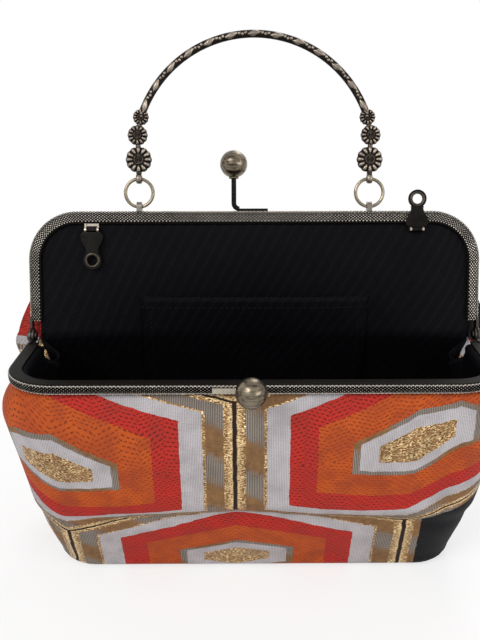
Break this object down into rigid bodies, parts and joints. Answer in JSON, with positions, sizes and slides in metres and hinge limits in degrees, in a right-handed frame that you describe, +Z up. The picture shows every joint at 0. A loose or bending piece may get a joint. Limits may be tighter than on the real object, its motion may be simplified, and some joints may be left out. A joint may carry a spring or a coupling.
{
  "type": "kimono bag",
  "caption": "Open clasp-frame handbag of geometric brocade with a black lining, hinged metal frame, kiss-lock balls, arched metal handle on rings and fold-out chain tabs.",
  "frame": {"origin": "middle of the flat base, on the surface that the bag stands on", "axes": "+Z up, -Y towards the front half of the frame, +X to the right seen from the front"},
  "size_m": [0.242, 0.1402, 0.2707],
  "materials": {
    "brocade": "woven brocade in hexagon fields of orange, red, pale grey and gold",
    "lining_cloth": "black twill",
    "frame_metal": "antiqued metal with a fine checked knurl",
    "paper": "twisted paper cord",
    "dark_metal": "dark antiqued metal",
    "ball_metal": "brushed antiqued metal",
    "cast_metal": "cast and antiqued metal with dark hollows",
    "bright_metal": "bright antiqued wire and strip"
  },
  "bodies": {
    "bag": {"outer_shell": "brocade", "lining": "lining_cloth", "inner_pocket": "lining_cloth", "rear_frame": "frame_metal", "rear_paper_cord": "paper", "hinge_rivets": "dark_metal", "rear_clasp_post": "dark_metal", "rear_clasp_ball": "ball_metal", "left_ring_lug": "dark_metal", "right_ring_lug": "dark_metal", "left_tab_clip": "bright_metal", "right_tab_clip": "bright_metal"},
    "front_half": {"front_frame": "frame_metal", "front_paper_cord": "paper", "front_clasp_post": "dark_metal", "front_clasp_ball": "ball_metal"},
    "rings": {"left_ring": "bright_metal", "right_ring": "bright_metal"},
    "handle": {"handle": "cast_metal"},
    "left_tab": {"left_tab": "dark_metal"},
    "right_tab": {"right_tab": "dark_metal"}
  },
  "joints": [
    {"name": "frame_hinge", "type": "hinge", "parent": "bag", "child": "front_half", "pos_m": [0, 0, 0.1195], "axis": [1, 0, 0], "range_deg": [-104, 0]},
    {"name": "ring_swing", "type": "hinge", "parent": "bag", "child": "rings", "pos_m": [0, 0.02428, 0.18353], "axis": [1, 0, 0], "range_deg": [-75, 75]},
    {"name": "handle_swing", "type": "hinge", "parent": "rings", "child": "handle", "pos_m": [0, 0.02879, 0.19742], "axis": [1, 0, 0], "range_deg": [-60, 60]},
    {"name": "left_tab_swing", "type": "hinge", "parent": "bag", "child": "left_tab", "pos_m": [-0.086, 0.01737, 0.17295], "axis": [1, 0, 0], "range_deg": [-180, 0]},
    {"name": "right_tab_swing", "type": "hinge", "parent": "bag", "child": "right_tab", "pos_m": [0.086, 0.01737, 0.17295], "axis": [1, 0, 0], "range_deg": [0, 180]}
  ]
}
